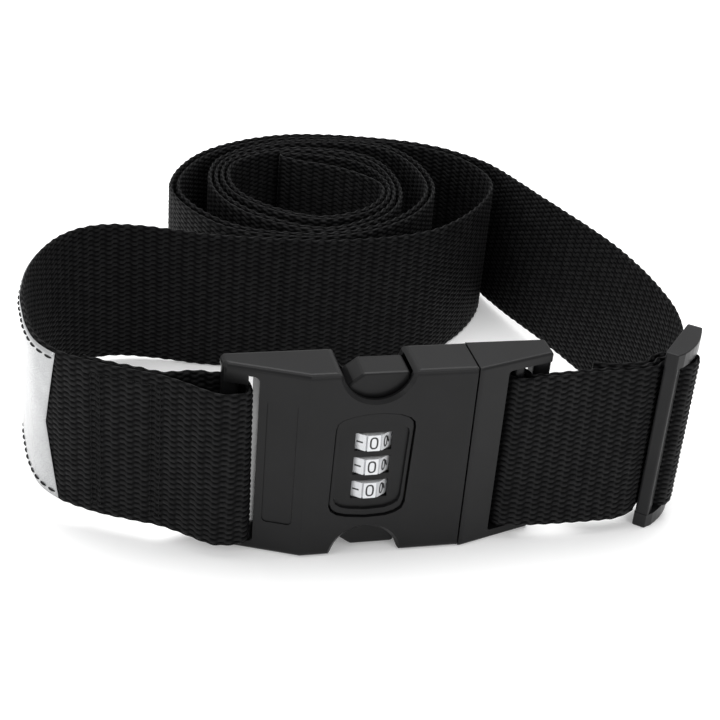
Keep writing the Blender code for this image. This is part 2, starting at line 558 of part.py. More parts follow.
AXLE_LOW, AXLE_HIGH = DIAL_Z - DIAL_PITCH - 8.0, DIAL_Z + DIAL_PITCH + 8.6
add("dial_axle", cylinder(AXLE_R, AXLE_LOW, AXLE_HIGH, "Z", (DIAL_X, DIAL_Y), 20), STEEL)

chassis = add("lock_chassis", box((-38.4, -4.9, AXLE_LOW + 0.8), (-22.0, 5.6, AXLE_HIGH - 0.4)), STEEL)
boolean(chassis, "DIFFERENCE", cutter("cut_chassis_inside", box((-36.6, -9, AXLE_LOW + 2.6), (-10.0, 9, AXLE_HIGH - 2.2))))
boolean(chassis, "DIFFERENCE", cutter("cut_chassis_axle", cylinder(AXLE_R + 0.2, AXLE_LOW - 4, AXLE_HIGH + 4, "Z", (DIAL_X, DIAL_Y), 20)))

# leaf spring whose fingers click on the back faces of the dials
detent = outline([(-36.1, 4.3), (-34.4, 4.9), (-31.4, 5.55), (-31.4, 5.95 - 0.1), (-34.4, 5.3), (-36.1, 4.7)],
                 DIAL_Z - DIAL_PITCH - 2.2, DIAL_Z + DIAL_PITCH + 2.2)
add("detent_spring", detent, STEEL)

# lock slide: a plate beside the dials with one finger for each gate flange
SLIDE_X = (-20.2, -17.6)
slide_plate = add("lock_slide", box((SLIDE_X[0], -4.6, AXLE_LOW + 3.0), (SLIDE_X[1], 3.6, AXLE_HIGH - 2.6)), BRASS)
for i in (-1, 0, 1):
    z = DIAL_Z - i * DIAL_PITCH + DIAL_HALF_H + 1.15
    finger = cutter(f"join_finger_{i + 2}", box((DIAL_X + 4.35, -1.6, z - 0.6), (SLIDE_X[0] + 0.4, 0.5, z + 0.6)))
    boolean(slide_plate, "UNION", finger)


def coil_spring(name, x0, x1, y, z, radius, wire, turns):
    curve = bpy.data.curves.new(name, "CURVE")
    curve.dimensions = "3D"
    curve.bevel_depth = wire * MM
    curve.bevel_resolution = 1
    curve.use_fill_caps = True
    line = curve.splines.new("POLY")
    count = int(turns * 9) + 1
    line.points.add(count - 1)
    for i in range(count):
        t = i / (count - 1)
        turn = 2 * math.pi * turns * t
        line.points[i].co = ((x0 + (x1 - x0) * t) * MM, radius * math.cos(turn) * MM, radius * math.sin(turn) * MM, 1.0)
    curve.materials.append(STEEL)
    made = bpy.data.objects.new(name, curve)
    made.location = (-CENTRE_X * MM, (y - CENTRE_Y) * MM, z * MM)
    parts.objects.link(made)


for name, z in (("upper", DIAL_Z + 6.5), ("lower", DIAL_Z - 6.5)):
    coil_spring(f"lock_spring_{name}", SLIDE_X[1] + 0.75, -11.15, -0.5, z, 1.5, 0.25, 4)

# post that the lock springs push against, with the lugs that steady it in the shell
add("spring_stop", box((-10.6, -5.4, 15.5), (-9.2, 5.5, 43.0)), DARK_PLASTIC)

reset = add("reset_button", cylinder(1.7, 3.9, 7.5, "Y", RESET_AT, 20), DARK_PLASTIC, origin=(RESET_AT[0], 7.5, RESET_AT[1]))
bevel(reset, 0.25, 1)

# ---------------------------------------------------------------- plug
RIGHT_FRONT = -HALF_T + RIGHT_SLOPE * (RIGHT_X - 1.0)
plug_plan = [(PLATE_X[0], -HALF_T), (1.0, -HALF_T), (RIGHT_X, RIGHT_FRONT), (RIGHT_X, HALF_T - 0.2), (PLATE_X[0], HALF_T)]
plug = add("plug_frame", outline(plug_plan, 0.0, BUCKLE_H), BLACK_PLASTIC)


def plug_edges(mid, run_dir):
    if abs(run_dir.z) > 0.9:
        return 0.2 if mid.x < 1 else 0.8
    return 0.2 if mid.x < 0.5 else 1.0


weighted_bevel(plug, EDGE_R, 4, plug_edges)
boolean(plug, "DIFFERENCE", cutter("cut_plug_slot", outline(rounded_rectangle(PLATE_X[1], 40, *SLOT_Z, 1.0, 3), -9.5, 9.5, "Y")))
boolean(plug, "UNION", rounded_bar("join_plug_outer_bar", PLUG_BAR_X, PLUG_BAR_Y, 1.4))
boolean(plug, "UNION", rounded_bar("join_plug_inner_bar", INNER_BAR_X, INNER_BAR_Y, 1.3))
tongue = cutter("join_tongue", box((-8.4, -5.3, 15.5), (PLATE_X[0] + 2.0, 5.3, 44.5)))
boolean(plug, "UNION", tongue)
boolean(plug, "DIFFERENCE", cutter("cut_tongue_hollow", box((-9.0, -3.6, 19.0), (-3.0, 3.6, 41.0))))


def prong(name, up):
    """A springing arm along the shell's edge with its press pad in the notch."""
    s = 1 if up else -1
    mid = BUCKLE_H / 2

    def zz(h):
        return mid + s * h
    arm = [(-0.15, zz(25.2)), (-0.15, zz(20.9)), (-19.0, zz(20.2)), (-35.2, zz(20.2)), (-37.4, zz(21.4)), (-37.4, zz(22.8)),
           (-36.2, zz(24.8)), (-35.0, zz(26.1)), (-31.9, zz(28.5)), (-19.4, zz(28.5)), (-19.0, zz(27.9)), (-17.8, zz(23.6)),
           (-12.0, zz(22.6)), (-6.0, zz(23.2)), (-3.0, zz(25.2))]
    if not up:
        arm = arm[::-1]
    made = add(name, outline(arm, -5.0, 5.0, "Y"), BLACK_PLASTIC, origin=(-2.0, 0.0, zz(23.0)))
    bevel(made, 0.7, 2, 25)
    return made


prong("prong_upper", True)
prong("prong_lower", False)

# ---------------------------------------------------------------- tri-glide adjuster
plan = [adj(u, n) for u, n in ((0.0, 0.4), (0.4, 0.0), (ADJ_W - 0.4, 0.0), (ADJ_W, 0.4), (ADJ_W, ADJ_END_T))]
for i in range(1, 8):
    t = i / 8
    plan.append(adj(ADJ_W * (1 - t), ADJ_END_T + (ADJ_MID_T - ADJ_END_T) * math.sin(math.pi * t)))
plan.append(adj(0.0, ADJ_END_T - 0.6))
slider = add("adjuster_slider", outline(plan, 0.0, BUCKLE_H), DARK_PLASTIC)
bevel(slider, 0.5, 2, 40)
window = outline([adj(-3, -3), adj(ADJ_W + 3, -3), adj(ADJ_W + 3, 12), adj(-3, 12)], *ADJ_Z)
boolean(slider, "DIFFERENCE", cutter("cut_adjuster_window", window))
for name, u0, u1, n0, n1, r in (("front", 0.14, 4.6, 0.12, 4.25, 0.8), ("centre", 9.2, 12.2, 1.2, 4.2, 1.2),
                               ("rear", 17.1, ADJ_W - 0.14, 0.12, 4.25, 0.8)):
    bar = outline([adj(u, n) for u, n in rounded_rectangle(u0, u1, n0, n1, r, 3)], ADJ_Z[0] - 1.0, ADJ_Z[1] + 1.0)
    boolean(slider, "UNION", cutter(f"join_adjuster_bar_{name}", bar))
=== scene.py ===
"""Looks of the luggage strap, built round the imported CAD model. Lengths here are in millimetres in the buckle's
own frame, where X runs along the buckle, Y = 0 is its middle plane and Z = 0 is the surface it stands on."""

import json
import math

import bmesh
import bpy
import numpy as np
from mathutils import Matrix, Vector

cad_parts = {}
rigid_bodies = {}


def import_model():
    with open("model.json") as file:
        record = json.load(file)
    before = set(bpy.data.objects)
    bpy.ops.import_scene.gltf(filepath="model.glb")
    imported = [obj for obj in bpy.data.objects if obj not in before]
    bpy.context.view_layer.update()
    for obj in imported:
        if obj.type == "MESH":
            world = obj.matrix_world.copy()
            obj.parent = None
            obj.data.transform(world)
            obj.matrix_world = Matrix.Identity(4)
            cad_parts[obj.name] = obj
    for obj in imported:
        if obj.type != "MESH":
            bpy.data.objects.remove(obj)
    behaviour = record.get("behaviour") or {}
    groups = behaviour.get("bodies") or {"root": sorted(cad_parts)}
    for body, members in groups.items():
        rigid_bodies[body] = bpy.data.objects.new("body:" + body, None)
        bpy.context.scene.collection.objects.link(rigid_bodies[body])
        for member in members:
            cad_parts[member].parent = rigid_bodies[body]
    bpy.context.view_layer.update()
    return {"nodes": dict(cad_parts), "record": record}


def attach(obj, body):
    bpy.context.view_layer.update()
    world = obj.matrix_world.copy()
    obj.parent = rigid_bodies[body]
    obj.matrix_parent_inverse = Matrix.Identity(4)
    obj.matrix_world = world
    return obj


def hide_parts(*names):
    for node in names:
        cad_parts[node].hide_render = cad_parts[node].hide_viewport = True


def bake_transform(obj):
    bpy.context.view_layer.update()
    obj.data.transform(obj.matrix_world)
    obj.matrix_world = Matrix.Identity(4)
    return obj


for old in list(bpy.data.objects):
    bpy.data.objects.remove(old)
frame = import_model()

MM = 0.001
CENTRE_X, CENTRE_Y = -22.626, 94.369


def world(x, y, z):
    return ((x - CENTRE_X) * MM, (y - CENTRE_Y) * MM, z * MM)


# ---------------------------------------------------------------- camera
def make_camera():
    """Fitted to the photograph: 75 mm lens, 29 degrees down, 15.2 degrees round, 5 degrees of roll."""
    forward = np.array((0.22972, 0.84350, -0.48554))
    right = np.array((0.96486, -0.26277, 0.0))
    up = np.array((0.12759, 0.46848, 0.87422))
    roll = math.radians(5.0116)
    cam_right = math.cos(roll) * right + math.sin(roll) * up
    cam_up = math.cos(roll) * up - math.sin(roll) * right
    at = np.array((-15.717, 60.676, 25.0)) - forward * 482.534
    data = bpy.data.cameras.new("camera")
    data.lens = 75.0075
    data.sensor_width = 36.0
    data.clip_start, data.clip_end = 0.01, 20.0
    cam = bpy.data.objects.new("camera", data)
    bpy.context.scene.collection.objects.link(cam)
    m = Matrix.Identity(4)
    for i in range(3):
        m[i][0], m[i][1], m[i][2] = cam_right[i], cam_up[i], -forward[i]
    m.translation = Vector(world(*at))
    cam.matrix_world = m
    bpy.context.scene.camera = cam


make_camera()


# ---------------------------------------------------------------- materials
class Nodes:
    """A small helper that wires one procedural material."""

    def __init__(self, name):
        self.mat = bpy.data.materials.new(name)
        self.mat.use_nodes = True
        self.tree = self.mat.node_tree
        self.tree.nodes.clear()
        self.out = self.tree.nodes.new("ShaderNodeOutputMaterial")
        self.shader = self.add("ShaderNodeBsdfPrincipled")
        self.link(self.shader.outputs[0], self.out.inputs[0])

    def add(self, kind, **values):
        node = self.tree.nodes.new(kind)
        for key, value in values.items():
            setattr(node, key, value)
        return node

    def link(self, a, b):
        self.tree.links.new(a, b)

    def set(self, **values):
        for key, value in values.items():
            self.shader.inputs[key.replace("_", " ")].default_value = value

    def coords(self, kind="Object", scale=(1, 1, 1), rotation=(0, 0, 0)):
        source = self.add("ShaderNodeTexCoord")
        mapping = self.add("ShaderNodeMapping")
        mapping.inputs["Scale"].default_value = scale
        mapping.inputs["Rotation"].default_value = rotation
        self.link(source.outputs[kind], mapping.inputs[0])
        return mapping.outputs[0]

    def noise(self, vector, scale, detail=3.0, rough=0.5):
        node = self.add("ShaderNodeTexNoise")
        node.inputs["Scale"].default_value = scale
        node.inputs["Detail"].default_value = detail
        node.inputs["Roughness"].default_value = rough
        self.link(vector, node.inputs["Vector"])
        return node.outputs["Fac"]

    def span(self, value, low, high, out_low, out_high):
        node = self.add("ShaderNodeMapRange")
        for i, v in enumerate((low, high, out_low, out_high)):
            node.inputs[i + 1].default_value = v
        self.link(value, node.inputs[0])
        return node.outputs[0]

    def maths(self, operation, a, b=None):
        node = self.add("ShaderNodeMath", operation=operation)
        for i, v in enumerate((a, b)):
            if v is None:
                continue
            if isinstance(v, (int, float)):
                node.inputs[i].default_value = v
            else:
                self.link(v, node.inputs[i])
        return node.outputs[0]

    def mix(self, fac, a, b):
        node = self.add("ShaderNodeMix", data_type="RGBA")
        for socket, v in ((node.inputs[0], fac), (node.inputs[6], a), (node.inputs[7], b)):
            if isinstance(v, (int, float)):
                socket.default_value = v
            elif isinstance(v, tuple):
                socket.default_value = (*v, 1.0)
            else:
                self.link(v, socket)
        return node.outputs[2]

    def bump(self, height, strength, distance, normal=None):
        node = self.add("ShaderNodeBump")
        node.inputs["Strength"].default_value = strength
        node.inputs["Distance"].default_value = distance
        self.link(height, node.inputs["Height"])
        if normal is not None:
            self.link(normal, node.inputs["Normal"])
        return node.outputs[0]


PICK, ROWS = 2.15, 115  # length of one float along the strap in mm, and rows of faces across it
WARP = 4 * 50.0 / ROWS  # pitch of the floats across the strap
LINK = 0.45  # how deep the weave still is where a float passes over to the next row


def webbing_material():
    """Woven polypropylene: painted shade makes the gaps of the weave near black and takes most specular and all sheen
    out of them; a soft sheen on the floats, fine filaments along them. The pattern runs on from the modelled floats:
    its coordinates are distances along and across the strap."""
    n = Nodes("black_webbing_weave")
    uv = n.add("ShaderNodeUVMap", uv_map="strap").outputs[0]
    parts = n.add("ShaderNodeSeparateXYZ")
    n.link(uv, parts.inputs[0])
    picks = n.maths("MULTIPLY", parts.outputs[0], 1000.0 / PICK)
    wave = n.maths("COSINE", n.maths("MULTIPLY", picks, math.pi))
    swing = n.maths("MINIMUM", n.maths("MAXIMUM", n.maths("MULTIPLY", wave, 1.5), -1.0), 1.0)
    row = n.maths("ADD", n.maths("MULTIPLY", parts.outputs[1], 1000.0 / WARP), n.maths("MULTIPLY", swing, 0.25))
    dip = n.maths("SUBTRACT", 0.5, n.maths("MULTIPLY", n.maths("COSINE", n.maths("MULTIPLY", row, 2 * math.pi)), 0.5))
    each = n.add("ShaderNodeCombineXYZ")
    n.link(n.maths("ROUND", picks), each.inputs[0])
    n.link(n.maths("ROUND", row), each.inputs[1])
    chance = n.add("ShaderNodeTexWhiteNoise", noise_dimensions="3D")
    n.link(each.outputs[0], chance.inputs["Vector"])
    vary = n.span(chance.outputs["Value"], 0.0, 1.0, 0.62, 1.0)
    deep = n.maths("ADD", n.maths("MULTIPLY", n.maths("POWER", n.maths("ABSOLUTE", wave), 0.8), 1.0 - LINK), LINK)
    height = n.maths("SUBTRACT", 1.0, n.maths("MULTIPLY", deep, n.maths("POWER", dip, 1.2)))
    height = n.maths("MULTIPLY", height, vary)
    between = n.maths("MAXIMUM", n.maths("MULTIPLY", n.maths("SINE", n.maths("MULTIPLY", picks, math.pi)), -1.0), 0.0)
    height = n.maths("MULTIPLY", height, n.maths("SUBTRACT", 1.0, n.maths("MULTIPLY", n.maths("POWER", between, 3.0), 0.55)))
    fine = n.add("ShaderNodeMapping")
    fine.inputs["Scale"].default_value = (500.0, 6500.0, 1.0)
    n.link(uv, fine.inputs[0])
    filament = n.noise(fine.outputs[0], 1.0, 2.0)
    broad = n.noise(n.coords("Object"), 45.0, 2.0)
    # painted shade: the base colour goes near black in the gaps of the weave, where shade falls between the floats
    tone = n.mix(n.span(height, 0.10, 0.80, 0.0, 1.0), (0.0022, 0.0022, 0.0024), (0.0084, 0.0084, 0.0088))
    tone = n.mix(n.maths("MULTIPLY", n.span(filament, 0.4, 0.7, 0.0, 0.35), height), tone, (0.0145, 0.0145, 0.0150))
    tone = n.mix(n.span(broad, 0.35, 0.7, 0.0, 0.22), tone, (0.0034, 0.0034, 0.0036))
    n.link(tone, n.shader.inputs["Base Color"])
    n.link(n.span(filament, 0.2, 0.8, 0.66, 0.50), n.shader.inputs["Roughness"])
    # painted shade as well: specular and sheen drop to almost nothing in the gaps of the weave
    n.link(n.span(height, 0.10, 0.85, 0.025, 0.12), n.shader.inputs["Specular IOR Level"])
    n.link(n.span(height, 0.2, 0.8, 0.0, 0.02), n.shader.inputs["Sheen Weight"])
    n.set(Sheen_Roughness=0.45)
    n.link(n.bump(n.maths("ADD", height, n.maths("MULTIPLY", filament, 0.10)), 0.8, 0.00032), n.shader.inputs["Normal"])
    return n.mat


def plastic_material(name, low, high, rough, grain=0.35, spec=0.5):
    """Satin moulded plastic: a fine spark-eroded grain, slight mottling, faintly uneven polish."""
    n = Nodes(name)
    where = n.coords("Object")
    mottle = n.noise(where, 60.0, 4.0, 0.55)
    grainy = n.noise(where, 5200.0, 2.0, 0.6)
    broad = n.noise(where, 24.0, 2.0)
    n.link(n.mix(n.span(mottle, 0.3, 0.7, 0.0, 1.0), low, high), n.shader.inputs["Base Color"])
    n.link(n.maths("ADD", n.span(broad, 0.3, 0.7, rough - 0.03, rough + 0.04),
                   n.span(grainy, 0.3, 0.7, -0.03, 0.03)), n.shader.inputs["Roughness"])
    n.set(Specular_IOR_Level=spec)
    n.link(n.bump(grainy, grain, 0.00003, n.bump(mottle, 0.05, 0.0002)), n.shader.inputs["Normal"])
    return n.mat


def dial_material():
    """Silvered dial: satin bright face with fine turned lines."""
    n = Nodes("silver_dial_face")
    where = n.coords("Object", (1, 1, 40))
    lines = n.noise(where, 900.0, 2.0)
    n.link(n.mix(n.span(lines, 0.3, 0.7, 0.0, 1.0), (0.60, 0.61, 0.63), (0.72, 0.73, 0.74)), n.shader.inputs["Base Color"])
    n.link(n.span(lines, 0.3, 0.7, 0.34, 0.46), n.shader.inputs["Roughness"])
    n.set(Metallic=0.25, Specular_IOR_Level=0.5)
    n.link(n.bump(lines, 0.15, 0.00002), n.shader.inputs["Normal"])
    return n.mat


def ink_material():
    n = Nodes("numeral_ink")
    speck = n.noise(n.coords("Object"), 4000.0)
    n.link(n.mix(speck, (0.006, 0.006, 0.007), (0.018, 0.018, 0.02)), n.shader.inputs["Base Color"])
    n.set(Roughness=0.5)
    return n.mat


def metal_material(name, low, high, rough):
    n = Nodes(name)
    where = n.coords("Object", (30, 1, 1))
    brushed = n.noise(where, 500.0, 3.0)
    n.link(n.mix(brushed, low, high), n.shader.inputs["Base Color"])
    n.link(n.span(brushed, 0.3, 0.7, rough - 0.05, rough + 0.1), n.shader.inputs["Roughness"])
    n.set(Metallic=1.0)
    n.link(n.bump(brushed, 0.1, 0.00003), n.shader.inputs["Normal"])
    return n.mat


def thread_material():
    """Twisted polyester thread."""
    n = Nodes("black_thread_twist")
    twist = n.noise(n.coords("Object", (1, 1, 1), (0.6, 0.6, 0.0)), 3500.0, 2.0)
    n.link(n.mix(n.span(twist, 0.3, 0.7, 0, 1), (0.003, 0.003, 0.003), (0.012, 0.012, 0.0125)), n.shader.inputs["Base Color"])
    n.set(Roughness=0.6, Specular_IOR_Level=0.10)
    n.link(n.bump(twist, 0.5, 0.00008), n.shader.inputs["Normal"])
    return n.mat


def reflective_material():
    """Retro-reflective tape: a bright silvery film over fine glass beads."""
    n = Nodes("reflective_tape_film")
    where = n.coords("Object")
    beads = n.add("ShaderNodeTexVoronoi")
    beads.inputs["Scale"].default_value = 5200.0
    n.link(where, beads.inputs["Vector"])
    cloud = n.noise(where, 130.0, 3.0)
    n.link(n.mix(n.span(cloud, 0.3, 0.7, 0, 1), (0.34, 0.345, 0.35), (0.42, 0.425, 0.43)), n.shader.inputs["Base Color"])
    n.link(n.span(beads.outputs["Distance"], 0.0, 0.7, 0.20, 0.30), n.shader.inputs["Roughness"])
    n.set(Metallic=0.35, Coat_Weight=0.4, Coat_Roughness=0.1)
    n.link(n.bump(beads.outputs["Distance"], 0.12, 0.00003, n.bump(cloud, 0.08, 0.0004)), n.shader.inputs["Normal"])
    return n.mat


WEBBING = webbing_material()
BLACK = plastic_material("black_satin_acetal", (0.0049, 0.0049, 0.0051), (0.0072, 0.0072, 0.0076), 0.34, 0.35, 0.185)
DARK = plastic_material("dark_satin_acetal", (0.0078, 0.0078, 0.0082), (0.0115, 0.0115, 0.0120), 0.34, 0.35, 0.18)
DIAL = dial_material()
INK = ink_material()
STEEL = metal_material("plain_steel", (0.42, 0.43, 0.44), (0.62, 0.63, 0.64), 0.28)
BRASS = metal_material("plain_brass", (0.50, 0.36, 0.15), (0.72, 0.56, 0.28), 0.32)
THREAD = thread_material()
TAPE = reflective_material()
BY_SLOT = {"webbing": WEBBING, "black_plastic": BLACK, "dark_plastic": DARK, "silver_dial": DIAL, "steel": STEEL,
           "brass": BRASS, "thread": THREAD, "reflective": TAPE}

for part in frame["record"]["subparts"]:
    node = frame["nodes"].get(part["node"])
    if node is None:
        continue
    finish_as = BY_SLOT[part["material_slot"]]
    if not node.material_slots:
        node.data.materials.append(finish_as)
    for slot in node.material_slots:
        slot.material = finish_as


# ---------------------------------------------------------------- the strap's centre line, as in the CAD
STRAP_W, STRAP_T, RISE, LAYER = 50.0, 1.4, 5.0, 1.75
COIL_X, COIL_Y = -18.0, 144.5
COIL_IN = (79.0, 62.9, 51.2, 48.0, 49.1, 47.4, 42.4, 41.6, 47.0, 54.7, 45.0, 39.8, 34.0, 33.6, 37.7,
           34.4, 34.2, 40.3, 38.0, 35.6, 28.6, 25.6, 28.3, 28.7, 30.0, 32.9)
COIL_OUT = (23.4, 27.6, 26.3, 26.1, 23.4, 26.3, 33.2, 35.7, 37.6, 31.9, 31.6, 35.5, 31.2, 31.6, 37.6,
            42.4, 51.6, 44.4, 39.0, 39.8, 44.4, 46.4, 45.3, 47.9, 59.4, 69.6, 54.4, 45.9)
FOLD_R, FOLD_TURN = 29.8, 0.272
BULGE_R = 69.0
ADJ_CORNER, ADJ_ANGLE = (56.8, -3.3), math.radians(49.4)


def spline(stations, step=0.4):
    """Points along a centripetal Catmull-Rom curve through rows of (x, y, rise, lean)."""
    p = np.array(stations, float)
    p = np.vstack([2 * p[0] - p[1], p, 2 * p[-1] - p[-2]])
    rows = []
    for a, b, c, d in zip(p[:-3], p[1:-2], p[2:-1], p[3:]):
        t = [0.0]
        for m, n in ((a, b), (b, c), (c, d)):
            t.append(t[-1] + max(np.linalg.norm((n - m)[:2]), 1e-6) ** 0.5)
        count = max(2, int(np.linalg.norm((c - b)[:2]) / step))
        for i in range(count):
            s = t[1] + (t[2] - t[1]) * i / count
            a1 = a + (b - a) * (s - t[0]) / (t[1] - t[0])
            a2 = b + (c - b) * (s - t[1]) / (t[2] - t[1])
            a3 = c + (d - c) * (s - t[2]) / (t[3] - t[2])
            b1 = a1 + (a2 - a1) * (s - t[0]) / (t[2] - t[0])
            b2 = a2 + (a3 - a2) * (s - t[1]) / (t[3] - t[1])
            rows.append(b1 + (b2 - b1) * (s - t[1]) / (t[2] - t[1]))
    rows.append(p[-2])
    rows = np.array(rows)
    rows[:, 2] = np.clip(rows[:, 2], 0.0, RISE)
    return rows


def coil_point(radius, turns):
    return COIL_X + radius * math.cos(2 * math.pi * turns), COIL_Y + radius * math.sin(2 * math.pi * turns)


def adj(u, n):
    c, s = math.cos(ADJ_ANGLE), math.sin(ADJ_ANGLE)
    return ADJ_CORNER[0] + u * c + n * s, ADJ_CORNER[1] + u * s - n * c


def flat(points, rise, lean=0.0):
    return [(x, y, rise, lean) for x, y in points]


def leaning(points, first, leans):
    """Stations at the full rise, a few of which lean."""
    rows = flat(points, RISE)
    for i, lean in enumerate(leans):
        rows[first + i] = (*rows[first + i][:3], lean)
    return rows


front = [(-112.4, 21.5, 5.0), (-106.2, 16.4, 5.0), (-100.2, 12.6, 5.0), (-92.8, 8.9, 5.0), (-85.4, 5.5, 4.8), (-79.0, 1.2, 4.4),
         (-74.2, -2.2, 3.9), (-70.6, -3.8, 3.5)]
sewn_end = [(x + 0.35, y + LAYER + 0.15, rise) for x, y, rise in front[1:5]]
loop_back = [(-80.4, 8.2, 4.4), (-75.4, 8.7, 4.0), (-70.6, 8.1, 3.6)]
bar_wrap = [(-67.6, 7.6, 3.5, 0.0), (-65.4, 7.35, 3.45, 0.2), (-63.4, 6.3, 3.45, 0.6), (-62.2, 4.0, 3.45, 1.0), (-61.85, 1.2, 3.45, 1.0),
            (-61.95, -1.2, 3.45, 0.9), (-62.9, -3.0, 3.45, 0.5), (-65.0, -3.9, 3.45, 0.1), (-67.6, -4.1, 3.5, 0.0)]
bend = [(-117.4, 29.0), (-119.8, 39.0), (-120.6, 49.0), (-120.9, 58.0), (-120.1, 67.5), (-118.6, 77.0), (-115.6, 87.0),
        (-111.6, 96.0), (-107.0, 103.0), (-100.4, 108.8), (-93.6, 111.6), (-87.4, 112.3), (-81.0, 111.6), (-74.6, 110.2)]
run = [(-68.4, 108.6), (-61.6, 106.6), (-55.0, 104.9), (-48.6, 103.4), (-42.4, 102.1), (-35.6, 100.8)]
main = [(*row, 0.0) for row in sewn_end + loop_back] + bar_wrap + [(*row, 0.0) for row in front[::-1]]
for i, (x, y) in enumerate(bend + run):
    main.append((x, y, RISE * max(0.0, 1 - i / (len(bend) + 1)), 0.0))
for i in range(len(COIL_OUT) - 1, -1, -1):
    turns = 0.125 - 0.125 * i
    main.append((*coil_point(COIL_OUT[i], turns), 0.0, 0.0))
    if i == 25:
        main.append((*coil_point(BULGE_R, turns + 0.0625), 0.0, 0.0))
fold = [(25.4, 0.245), (28.1, FOLD_TURN - 0.009), (FOLD_R, FOLD_TURN), (32.3, FOLD_TURN - 0.004)]
main += [(*coil_point(r, t), 0.0, 0.0) for r, t in fold]
for i in range(len(COIL_IN) - 1, 0, -1):
    main.append((*coil_point(COIL_IN[i], 0.125 * i), 0.0, 0.0))
START_D, START_A = (*coil_point(COIL_IN[1], 0.125), 0.0, 0.0), (73.4, 76.0, 4.4, -3.6)
diagonal = [(41.0, 181.0, 0.1, 0.0), (48.7, 172.5, 0.3, -0.8), (53.4, 163.0, 0.8, -2.6),
            (56.0, 153.6, 1.3, -4.0), (58.0, 143.6, 1.8, -4.6), (61.6, 128.0, 2.4, -4.6), (66.0, 110.5, 3.2, -4.0),
            (70.2, 93.0, 3.8, -4.0)]
lower = [(75.3, 60.0, 4.8, -2.4), (76.1, 45.0, RISE, -1.2), (76.0, 33.0, RISE, 0.0)]
over = [adj(29.6, -3.5), adj(25.4, -2.0), adj(21.6, -1.3), adj(18.6, -1.15), adj(16.5, -0.6), adj(15.3, 1.0), adj(15.1, 3.2),
        adj(14.6, 5.4), adj(13.0, 6.8), adj(10.7, 7.15), adj(8.4, 6.8), adj(6.8, 5.4), adj(6.3, 3.2), adj(6.1, 1.0),
        adj(5.1, -0.6), adj(3.2, -1.15), adj(0.4, -1.3), adj(-1.6, -2.0)]
strand = [(50.0, -3.6, 4.1, 3.2), (43.0, -4.1, 4.25, 3.8), (36.0, -4.5, 4.35, 3.4), (29.0, -4.8, 4.4, 2.8), (24.0, -4.9, 4.4, 2.3)]
plug_wrap = [(20.0, -4.9, 4.4, 1.6), (16.0, -4.8, 4.3, 0.7), (13.6, -4.35, 4.3, 0.2), (11.9, -3.2, 4.3, 0.0), (11.05, -1.5, 4.2, 0.0),
             (10.9, 0.4, 4.2, 0.0), (11.5, 2.3, 4.2, 0.0), (13.0, 3.65, 4.2, 0.0), (14.8, 3.6, 4.2, 0.0), (16.2, 2.5, 4.2, 0.0),
             (16.95, 0.9, 4.2, 0.0), (17.4, -0.9, 4.2, 0.0), (18.3, -2.3, 4.2, -0.4), (20.4, -2.95, 4.2, -1.3)]
back = [(24.2, -3.1, 4.2, -2.2), (29.0, -3.0, 4.2, -2.8), (36.0, -2.7, 4.2, -3.4), (43.0, -2.3, 4.15, -3.8), (49.4, -1.75, 4.1, -3.2)]
under = [adj(-1.5, -4.4), adj(1.2, -3.3), adj(4.2, -3.05), adj(6.2, -2.4), adj(7.65, -0.7), adj(8.1, 1.3), adj(8.15, 3.1),
         adj(8.95, 4.8), adj(10.7, 5.3), adj(12.45, 4.8), adj(13.25, 3.1), adj(13.2, 1.4), adj(12.2, -0.2), adj(10.4, -1.8),
         adj(8.4, -3.4), adj(6.2, -4.6), adj(3.4, -5.15), adj(0.6, -5.3)]
tail = [(50.4, 0.6), (46.5, 0.3), (42.0, 0.6), (37.5, 1.9)]
whole = spline(main + diagonal + [START_A] + lower + leaning(over, -3, (0.2, 0.7, 1.9)) + strand + plug_wrap + back
               + leaning(under, 0, (-1.6, -0.5)) + flat(tail, RISE))
whole_run = np.concatenate([[0.0], np.cumsum(np.linalg.norm(np.diff(whole[:, :2], axis=0), axis=1))])
along_all = np.gradient(whole[:, :2], axis=0)
along_all /= np.linalg.norm(along_all, axis=1)[:, None]


def nearest(point):
    return float(whole_run[np.argmin(np.linalg.norm(whole[:, :2] - point[:2], axis=1))])


def nearest_after(point, low, high):
    away = np.linalg.norm(whole[:, :2] - point[:2], axis=1)
    away = np.where((whole_run > low) & (whole_run < high), away, np.inf)
    return float(whole_run[np.argmin(away)])


def at_run(s):
    """Centre (x, y), side normal, rise and lean at the distances s along the strap."""
    s = np.asarray(s, float)
    cols = [np.interp(s, whole_run, whole[:, k]) for k in range(4)]
    ax, ay = (np.interp(s, whole_run, along_all[:, k]) for k in range(2))
    size = np.hypot(ax, ay)
    return np.stack(cols[:2], 1), np.stack([ay / size, -ax / size], 1), cols[2], cols[3]


CUT_D, CUT_A = nearest(START_D), nearest(START_A)
CUT_L = nearest_after(np.array((76.0, 33.0)), CUT_A, CUT_A + 80.0)
END = float(whole_run[-1])
LOOP_FRONT = nearest_after(np.array((-85.4, 6.2)), 55.0, 140.0)  # front strand where the sewing starts
SEWN = (nearest_after(np.array((-84.6, 6.0)), 55.0, 160.0), nearest_after(np.array((-104.4, 15.3)), 55.0, 160.0))


def hash01(a, b):
    """A repeatable value from 0 to 1 for each pair of whole numbers."""
    x = np.sin(a * 12.9898 + b * 78.233) * 43758.5453
    return x - np.floor(x)


def weave_height(s, v, turn):
    """0 in the gaps to 1 on top of a float: rows that swing up and down by half a pitch from one pick to the next.
    turn shifts the pattern by one pick for the other face."""
    wave = np.cos(np.pi * (s / PICK + turn))
    row = v / WARP + 0.25 * np.clip(1.5 * wave, -1.0, 1.0)
    dip = 0.5 - 0.5 * np.cos(2 * np.pi * row)
    vary = 0.74 + 0.26 * hash01(np.round(s / PICK) + 31 * turn, np.round(row))
    between = np.maximum(-np.sin(np.pi * (s / PICK + turn)), 0.0)
    return (1 - (LINK + (1 - LINK) * np.abs(wave) ** 0.8) * dip ** 1.2) * vary * (1 - 0.45 * between ** 3)


